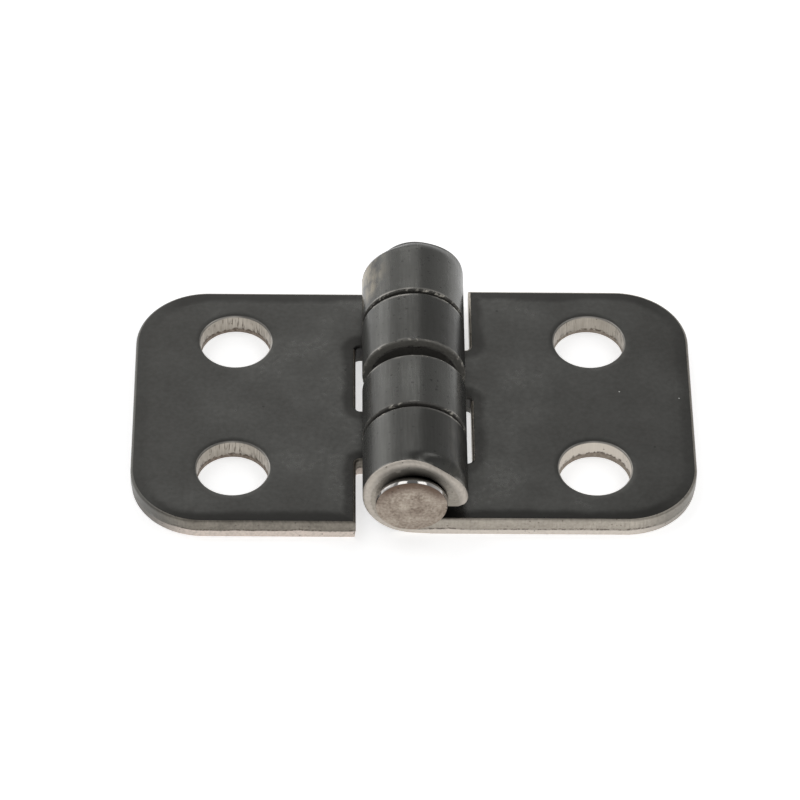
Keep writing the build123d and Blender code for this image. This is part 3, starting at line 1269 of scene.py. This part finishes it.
    def build(self) -> bpy.types.Object:
        """Blanks, edges and rolls the leaf.

        Returns:
            The leaf's mesh object, with its finishes' zones set.
        """
        mesh = FlatMesh()
        edges = [self.lay_edge(mesh, self.outline(), self.rim_section)]
        edges += [self.lay_edge(mesh, hole, self.hole_section) for hole in self.holes()]
        self.lay_face(mesh, [upper for upper, _ in edges], on_top=True)
        self.lay_face(mesh, [lower for _, lower in edges], on_top=False)
        made = new_object(f"{self.side.node}_sheet", self.roll(mesh.blank), mesh.faces)
        made.data.polygons.foreach_set("material_index", mesh.zones)
        store_vectors(made, "blank", mesh.blank + (0.0, 0.0, self.seed * MM))
        store_vectors(made, "cut", mesh.cut + (self.seed * MM, 0.0, 0.0))
        return made

    def dress(self, made: bpy.types.Object, finishes: Mapping[LeafZone, bpy.types.Material]) -> None:
        """Gives the leaf its finishes and puts it on its body.

        Args:
            made: The built leaf.
            finishes: Material of each zone.
        """
        for zone in LeafZone:
            made.data.materials.append(finishes[zone])
        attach(made, self.side.node)
        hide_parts(self.side.node)


@dataclass
class HingePin:
    """The pin: a round shaft with both ends upset into low heads, a little off centre."""

    axis_height: float
    head_face: float
    head_radius: float
    shaft_radius: float = 2.5 * MM
    head_height: float = 1.1 * MM
    head_crown: float = 0.15 * MM
    head_spread: float = 0.05 * MM
    head_edge: float = 0.05 * MM
    head_belly: float = 0.07 * MM
    belly_place: float = 0.35
    belly_power: float = 1.4
    head_taper: float = 0.22 * MM
    taper_power: float = 1.6
    seat_break: float = 0.05 * MM
    front_lean: Pair = (-0.34 * MM, -0.06 * MM)
    rear_lean: Pair = (0.2 * MM, -0.15 * MM)
    front_tilt: float = 0.055
    rear_tilt: float = -0.06
    dent_depth: float = 0.08 * MM
    dent_size: float = 1.3 * MM
    dent_shift: float = 4.0 * MM
    dent_seed: float = 2.0
    wobble: float = 0.004
    wobble_size: float = 0.8
    wobble_seed: float = 5.0
    hair: float = 0.01 * MM
    segments: int = 160
    face_rings: int = 18
    first_face_share: float = 0.04
    edge_turns: tuple[float, ...] = (30.0, 60.0)
    belly_shares: tuple[float, ...] = (0.0, 0.25, 0.5, 0.75, 1.0)
    taper_shares: tuple[float, ...] = (0.25, 0.5, 0.75, 1.0)
    shaft_shares: tuple[float, ...] = (0.98, 0.6, 0.3, 0.0)

    @classmethod
    def from_frame(cls) -> "HingePin":
        """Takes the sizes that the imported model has."""
        low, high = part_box("hinge_pin")
        return cls(axis_height=(low.z + high.z) / 2, head_face=high.y, head_radius=(high.x - low.x) / 2)

    @property
    def seat(self) -> float:
        """Distance from the middle of the pin to where a head meets the knuckle."""
        return self.head_face - self.head_height

    def half_section(self) -> list[tuple[float, float, PinZone]]:
        """Works down one head, from the middle of its face to the middle of the shaft.

        Returns:
            Radius, distance from the middle of the pin, and the zone of the surface that ends there.
        """
        rim = self.head_radius + self.head_spread
        flat = rim - self.head_belly - self.head_edge
        shoulder = self.head_face - self.head_crown
        edge_end = shoulder - self.head_edge
        belly = edge_end - self.belly_place * (shoulder - self.seat)
        face = []
        for share in np.linspace(self.first_face_share, 1.0, self.face_rings):
            face.append((flat * share, self.head_face - self.head_crown * share**2))
        for angle in map(math.radians, self.edge_turns):
            out, up = self.head_edge * math.sin(angle), self.head_edge * math.cos(angle)
            face.append((flat + out, edge_end + up))
        side = []
        for share in self.belly_shares:
            bulge = self.head_belly * (1 - share) ** self.belly_power
            side.append((rim - bulge, edge_end + (belly - edge_end) * share))
        for share in self.taper_shares:
            narrowed = self.head_taper * share**self.taper_power
            side.append((rim - narrowed, belly + (self.seat - belly) * share))
        side.append((rim - self.head_taper - self.seat_break, self.seat))
        side.append((self.shaft_radius + self.seat_break, self.seat))
        side.append((self.shaft_radius, self.seat))
        side += [(self.shaft_radius, self.seat * share) for share in self.shaft_shares]
        section = [(*point, PinZone.UPSET_FACE) for point in face]
        return section + [(*point, PinZone.BRIGHT_SIDE) for point in side]

    def build(self) -> bpy.types.Object:
        """Turns the section into the pin.

        Returns:
            The pin's mesh object, with its finishes' zones set.
        """
        half = self.half_section()
        rows = [(radius, -reach, zone) for radius, reach, zone in half]
        rows += reversed(half[:-1])
        angles = np.linspace(0, 2 * math.pi, self.segments, endpoint=False)
        circle = np.column_stack([np.cos(angles), np.sin(angles)])
        uneven = 1 - self.wobble * (1 + ripple(circle, self.wobble_size, self.wobble_seed))
        dented_to = self.head_radius - self.head_belly - self.head_edge / 2
        points, turned, face, faces, zones = [], [], [], [], []
        for number, (radius, reach, zone) in enumerate(rows):
            outwards = math.copysign(1.0, reach)
            in_head = abs(reach) > self.seat - self.hair and radius > self.shaft_radius
            in_head = in_head or zone is PinZone.UPSET_FACE
            flat = circle * radius * (uneven[:, None] if in_head else 1.0)
            y = np.full(self.segments, reach)
            lean = (0.0, 0.0)
            if zone is PinZone.UPSET_FACE and radius < dented_to:
                dents = ripple(flat + outwards * self.dent_shift, self.dent_size, self.dent_seed)
                y -= outwards * self.dent_depth * (1 + dents) / 2
            if in_head:
                lean, tilt = self.front_lean, self.front_tilt
                if reach > 0:
                    lean, tilt = self.rear_lean, self.rear_tilt
                share = np.clip((abs(reach) - self.seat) / self.head_height, 0.0, 1.0)
                y -= outwards * (abs(tilt) * self.head_radius - tilt * flat[:, 1]) * share
            points.append(np.column_stack([flat[:, 0] + lean[0], y, flat[:, 1] + lean[1] + self.axis_height]))
            turned.append(np.column_stack([np.full(self.segments, radius), angles * self.head_radius, y]))
            face.append(np.column_stack([flat, np.full(self.segments, reach)]))
            here = number * self.segments + np.arange(self.segments)
            if number:
                before = here - self.segments
                quads = np.column_stack([here, np.roll(here, -1), np.roll(before, -1), before])
                faces += quads.tolist()
                zones += [(zone if reach < 0 else rows[number - 1][2]).value] * self.segments
        faces += [list(range(self.segments)), here[::-1].tolist()]
        zones += [PinZone.UPSET_FACE.value] * 2
        made = new_object("pin_upset", np.concatenate(points), faces)
        made.data.polygons.foreach_set("material_index", zones)
        store_vectors(made, "turned", np.concatenate(turned))
        store_vectors(made, "face", np.concatenate(face))
        return made

    def dress(self, made: bpy.types.Object, upset: UpsetSteel, bright: BrightSteel) -> None:
        """Gives the pin its finishes and puts it on its body.

        Args:
            made: The built pin.
            upset: Finish of the hammered faces.
            bright: Finish of the round sides.
        """
        made.data.materials.append(upset.material())
        made.data.materials.append(bright.material())
        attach(made, "pin")
        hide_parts("hinge_pin")


@dataclass(frozen=True)
class SoftBox:
    """A soft lamp aimed at the hinge. Angles are in degrees, azimuth from the rear towards the right."""

    name: str
    azimuth: float
    elevation: float
    width: float
    height: float
    radiance: float
    distance: float = 0.8

    def hang(self) -> None:
        """Hangs the lamp."""
        across, up = math.radians(self.azimuth), math.radians(self.elevation)
        away = Vector((math.sin(across) * math.cos(up), math.cos(across) * math.cos(up), math.sin(up)))
        lamp = bpy.data.lights.new(self.name, "AREA")
        lamp.shape = "RECTANGLE"
        lamp.size = self.width
        lamp.size_y = self.height
        lamp.energy = self.radiance * math.pi * self.width * self.height
        made = bpy.data.objects.new(self.name, lamp)
        made.location = away * self.distance
        made.rotation_euler = (-away).to_track_quat("-Z", "Y").to_euler()
        made.visible_camera = False
        bpy.context.scene.collection.objects.link(made)


@dataclass
class Studio:
    """The white table, the lamps and the room's own light."""

    floor_width: float = 6.0
    floor_height: float = -0.01 * MM
    lamps: tuple[SoftBox, ...] = (
        SoftBox("rear_left_panel", -17, 36, 0.22, 0.46, 1.0),
        SoftBox("rear_middle_panel", 2, 36, 0.20, 0.46, 1.05),
        SoftBox("left_softbox", -53, 13, 0.46, 0.32, 0.64),
        SoftBox("left_wide_panel", -49, 20, 0.66, 0.50, 0.62),
        SoftBox("upper_left_panel", -66, 60, 0.34, 0.34, 1.8),
        SoftBox("upper_right_panel", 70, 58, 0.32, 0.34, 1.8),
        SoftBox("front_fill", 172, 42, 0.5, 0.3, 1.2),
    )
    room_steps: tuple[Pair, ...] = ((0.0, 0.75), (0.35, 0.62), (0.62, 0.42), (0.85, 0.25), (1.0, 0.2))

    def lay_floor(self) -> None:
        """Lays the table just under the leaves."""
        half = self.floor_width / 2
        corners = ((-half, -half), (half, -half), (half, half), (-half, half))
        floor = new_object("floor", np.array([(*c, self.floor_height) for c in corners]), [[0, 1, 2, 3]])
        floor.data.materials.append(PaleFloor().material())

    def light_room(self) -> None:
        """Lights the room evenly round, paler at the horizon than overhead."""
        world = bpy.data.worlds.new("studio")
        bpy.context.scene.world = world
        world.use_nodes = True
        graph = Graph(world.node_tree)
        upward = graph.split(graph.add("ShaderNodeTexCoord").outputs["Generated"])["Z"]
        ramp = graph.add("ShaderNodeValToRGB", {"Fac": upward})
        stops = ramp.color_ramp.elements
        while len(stops) < len(self.room_steps):
            stops.new(0.5)
        for stop, (place, level) in zip(stops, self.room_steps, strict=True):
            stop.position = place
            stop.color = (level, level, level, 1.0)
        light = graph.add("ShaderNodeBackground", {"Color": ramp.outputs["Color"]})
        graph.add("ShaderNodeOutputWorld", {"Surface": light.outputs[0]})

    def build(self) -> None:
        """Sets the whole studio up."""
        self.lay_floor()
        self.light_room()
        for lamp in self.lamps:
            lamp.hang()
        bpy.context.scene.view_settings.view_transform = "Standard"


@dataclass(frozen=True)
class PhotoCamera:
    """The camera, aimed at a point of the floor. Angles are in degrees."""

    aim: Pair = (-1.137 * MM, 2.376 * MM)
    distance: float = 403.97 * MM
    elevation: float = 45.897
    swing: float = 1.490
    roll: float = -1.438
    lens: float = 201.84
    sensor: float = 36.0

    def build(self) -> None:
        """Sets the camera up as the scene's own."""
        turn, up = math.radians(self.swing), math.radians(self.elevation)
        ahead = Vector((math.sin(turn) * math.cos(up), math.cos(turn) * math.cos(up), -math.sin(up)))
        lens = bpy.data.cameras.new("photo_camera")
        lens.lens = self.lens
        lens.sensor_width = self.sensor
        made = bpy.data.objects.new("photo_camera", lens)
        made.location = Vector((*self.aim, 0.0)) - ahead * self.distance
        level = ahead.to_track_quat("-Z", "Y")
        made.rotation_mode = "QUATERNION"
        made.rotation_quaternion = level @ Quaternion((0.0, 0.0, 1.0), -math.radians(self.roll))
        bpy.context.scene.collection.objects.link(made)
        bpy.context.scene.camera = made


def leaf_finishes(effects: SurfaceEffects) -> dict[Side, dict[LeafZone, bpy.types.Material]]:
    """Builds the finishes of both leaves.

    Args:
        effects: Shader groups that the finishes use.

    Returns:
        For each leaf, the material of each zone.
    """
    right_scale = RollingScale(
        effects, "right_scale", paler_roll_share=0.03, rubbed_end_share=0.1, highlight_side_share=0.22
    )
    left_scale = RollingScale(
        effects, "left_scale", paler_roll_share=0.28, rubbed_end_share=0.85, highlight_side_share=0.0
    )
    right_edge = CutSteel(
        effects,
        "right_blanked_edge",
        burnish_share=EDGE_BURNISH[Side.RIGHT],
        burnished=(0.53, 0.483, 0.42, 1.0),
        stained=(0.275, 0.248, 0.208, 1.0),
        torn=(0.74, 0.68, 0.615, 1.0),
        pitted=(0.11, 0.09, 0.072, 1.0),
        drag_share=0.12,
        shade_round_pin=0.85,
        shaded_side_share=0.55,
    )
    left_edge = CutSteel(
        effects,
        "left_blanked_edge",
        burnish_share=EDGE_BURNISH[Side.LEFT],
        burnished=(0.32, 0.293, 0.249, 1.0),
        stained=(0.118, 0.105, 0.086, 1.0),
        torn=(0.74, 0.655, 0.59, 1.0),
        pitted=(0.08, 0.066, 0.052, 1.0),
        drag_share=0.12,
        shade_round_pin=0.85,
        scaled_rim_share=1.0,
        shaded_side_share=0.85,
    )
    punched_hole = partial(
        CutSteel,
        effects,
        burnish_share=HOLE_BURNISH,
        burnished=(0.583, 0.536, 0.47, 1.0),
        stained=(0.30, 0.268, 0.226, 1.0),
        pitted=(0.10, 0.08, 0.06, 1.0),
        drag_share=0.5,
    )
    right_hole = punched_hole(
        "right_punched_hole",
        torn=(0.30, 0.255, 0.21, 1.0),
        wander_share=0.26,
        front_tear=0.12,
        fresh_front_share=0.65,
    )
    left_hole = punched_hole("left_punched_hole", torn=(0.22, 0.175, 0.14, 1.0))
    # Knuckle ends facing each other across the gaps: darker copies of the blanked edge as painted shade, with
    # painted glints on their rims
    shaded_facing_end = partial(CutSteel, effects, burnish_share=0.62, drag_share=0.3, metallic=0.3)
    shaded_tight_end = shaded_facing_end(
        "tight_knuckle_end",
        burnished=(0.03, 0.028, 0.025, 1.0),
        stained=(0.012, 0.011, 0.01, 1.0),
        torn=(0.07, 0.067, 0.06, 1.0),
        pitted=(0.008, 0.007, 0.006, 1.0),
        nick_share=1.0,
    )
    shaded_open_end = shaded_facing_end(
        "knuckle_end",
        burnished=(0.10, 0.097, 0.088, 1.0),
        stained=(0.06, 0.057, 0.052, 1.0),
        torn=(0.15, 0.145, 0.13, 1.0),
        pitted=(0.02, 0.018, 0.016, 1.0),
        nick_share=0.8,
    )
    own = {Side.RIGHT: (right_scale, right_edge, right_hole), Side.LEFT: (left_scale, left_edge, left_hole)}
    shared = {LeafZone.KNUCKLE_END: shaded_open_end.material(), LeafZone.TIGHT_END: shaded_tight_end.material()}
    zones = (LeafZone.SKIN, LeafZone.CUT_EDGE, LeafZone.PUNCHED_HOLE)
    return {
        side: {**{zone: made.material() for zone, made in zip(zones, own[side], strict=True)}, **shared}
        for side in Side
    }


def report(made: bpy.types.Object) -> None:
    """Logs a piece and how many faces it has."""
    LOG.info("%s: %d faces", made.name, len(made.data.polygons))


def main() -> None:
    """Builds the hinge's pieces, dresses them and sets the studio up."""
    logging.basicConfig(level=logging.INFO, format="%(name)s: %(message)s")
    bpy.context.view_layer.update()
    effects = SurfaceEffects()
    finishes = leaf_finishes(effects)
    for side in Side:
        leaf = Leaf.from_frame(side)
        made = leaf.build()
        leaf.dress(made, finishes[side])
        report(made)
    pin = HingePin.from_frame()
    made = pin.build()
    pin.dress(made, UpsetSteel(effects), BrightSteel(effects))
    report(made)
    Studio().build()
    PhotoCamera().build()


if __name__ == "__main__":
    main()
